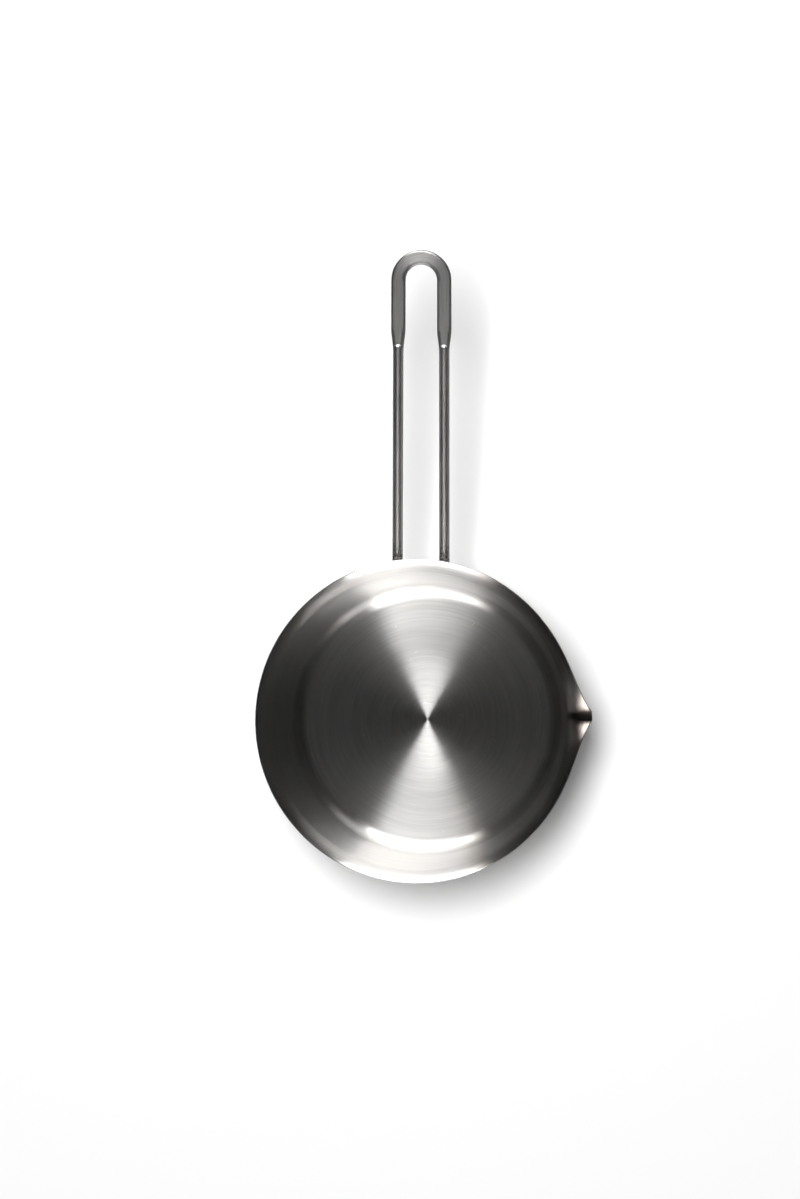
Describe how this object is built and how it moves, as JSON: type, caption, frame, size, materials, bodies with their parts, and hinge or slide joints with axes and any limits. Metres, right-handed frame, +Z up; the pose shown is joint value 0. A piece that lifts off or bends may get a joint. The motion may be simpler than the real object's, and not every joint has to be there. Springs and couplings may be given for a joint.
{
  "type": "saucepan",
  "caption": "Stainless steel saucepan with a flared rim, a pouring spout on one side and a handle bent from round bar that ends in a flat hanging loop.",
  "frame": {"origin": "centre of the base on the surface that the pan stands on", "axes": "+Z up, +Y along the handle to its loop, +X to the side of the pouring spout"},
  "size_m": [0.1964, 0.3625, 0.1213],
  "materials": {
    "pan_steel": "brushed in rings",
    "core_aluminium": "plain",
    "base_steel": "turned in rings",
    "handle_steel": "satin bar",
    "weld_metal": "cleaned weld"
  },
  "bodies": {
    "root": {"pan_body": "pan_steel", "core_disc": "core_aluminium", "base_cap": "base_steel", "handle_bar": "handle_steel", "weld_left": "weld_metal", "weld_right": "weld_metal"}
  },
  "joints": []
}
